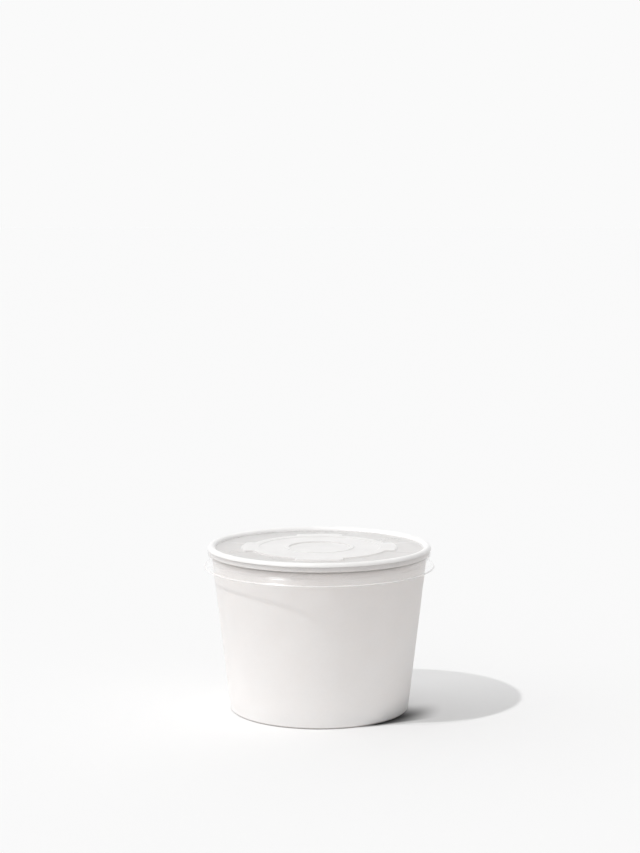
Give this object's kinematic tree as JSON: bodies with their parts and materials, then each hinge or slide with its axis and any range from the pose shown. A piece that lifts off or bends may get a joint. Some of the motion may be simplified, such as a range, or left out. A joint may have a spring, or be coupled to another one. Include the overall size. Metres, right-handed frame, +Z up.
{
  "type": "takeaway soup container",
  "caption": "Squat tapered soup cup of white coated board, with a rolled brim and a clear push-on plastic lid, closed and empty.",
  "frame": {"origin": "centre of the ring that the cup stands on", "axes": "+Z up along the cup's axis, towards the lid; a lid lug lies on each of +X, -X, +Y and -Y, and -Y is the front"},
  "size_m": [0.1024, 0.1024, 0.0736],
  "materials": {
    "board": "white coated paper board, satin",
    "clear_lid": "thin clear formed plastic, a little milky on the raised middle"
  },
  "bodies": {
    "root": {"cup_wall": "board", "cup_base": "board", "lid": "clear_lid"}
  },
  "joints": []
}
